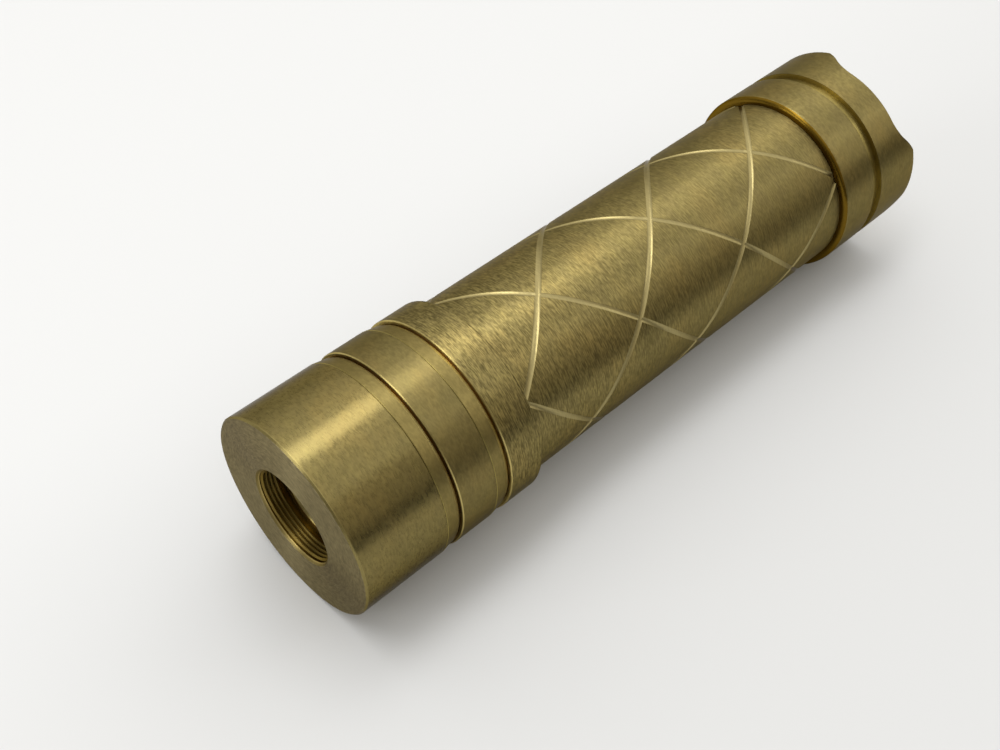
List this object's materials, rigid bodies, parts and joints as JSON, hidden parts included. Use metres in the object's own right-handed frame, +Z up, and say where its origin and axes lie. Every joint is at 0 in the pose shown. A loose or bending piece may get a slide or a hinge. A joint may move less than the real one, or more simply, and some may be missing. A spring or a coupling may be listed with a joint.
{
  "type": "laser pointer",
  "caption": "Pocket laser pointer in turned brass with a threaded muzzle, crossed helical grip grooves, a crowned tail cap that unscrews and a sprung push button.",
  "frame": {"origin": "on the surface that the pointer lies on, under the middle of its length", "axes": "+Z up, and -X along the axis to the muzzle that the light leaves by"},
  "size_m": [0.097, 0.0254, 0.0254],
  "materials": {
    "turned_brass": "satin turned, with circumferential tool lines and a light patina",
    "module_brass": "fine turned",
    "holder_brass": "turned",
    "seal_rubber": "matt",
    "boot_rubber": "matt",
    "lens_glass": "polished",
    "window_glass": "polished",
    "spring_steel": "drawn wire",
    "diode_can": "gold-plated",
    "diode_pins": "gold-plated",
    "wire_sleeve": "flexible insulation",
    "circuit_board": "lacquered laminate",
    "chip_plastic": "moulded",
    "cell_can": "plain can",
    "switch_plastic": "moulded",
    "plunger_plastic": "moulded"
  },
  "bodies": {
    "host": {"front_cap": "turned_brass", "head_sleeve": "turned_brass", "battery_tube": "turned_brass", "front_seal": "seal_rubber", "rear_seal": "seal_rubber", "module_barrel": "module_brass", "module_base": "module_brass", "lens_cell": "module_brass", "collimating_lens": "lens_glass", "lens_retainer": "module_brass", "lens_spring": "spring_steel", "laser_diode": "diode_can", "diode_window": "window_glass", "diode_pins": "diode_pins", "lead_wires": "wire_sleeve", "driver_board": "circuit_board", "driver_parts": "chip_plastic", "contact_spring": "spring_steel", "battery_cell": "cell_can"},
    "seal": {"tail_seal": "seal_rubber"},
    "tail": {"tail_cap": "turned_brass", "switch_holder": "holder_brass", "switch_body": "switch_plastic", "switch_board": "circuit_board", "tail_spring": "spring_steel", "button_boot": "boot_rubber"},
    "button": {"switch_plunger": "plunger_plastic", "switch_spring": "spring_steel"}
  },
  "joints": [
    {"name": "tail_cap_turn", "type": "hinge", "parent": "host", "child": "seal", "pos_m": [0.03445, 0, 0.0127], "axis": [1, 0, 0], "range_deg": [0, 1980.2]},
    {"name": "tail_cap_advance", "type": "slide", "parent": "seal", "child": "tail", "axis": [1, 0, 0], "range_m": [0, 0.0055]},
    {"name": "button_press", "type": "slide", "parent": "tail", "child": "button", "axis": [-1, 0, 0], "range_m": [0, 0.0016], "stiffness_N_per_m": 1500, "springref_m": -0.0006, "deforming": ["button_boot", "switch_spring"]}
  ],
  "couplings": [
    {"joint": "tail_cap_turn", "follows": "tail_cap_advance", "rad_per_m": 6283.2}
  ]
}
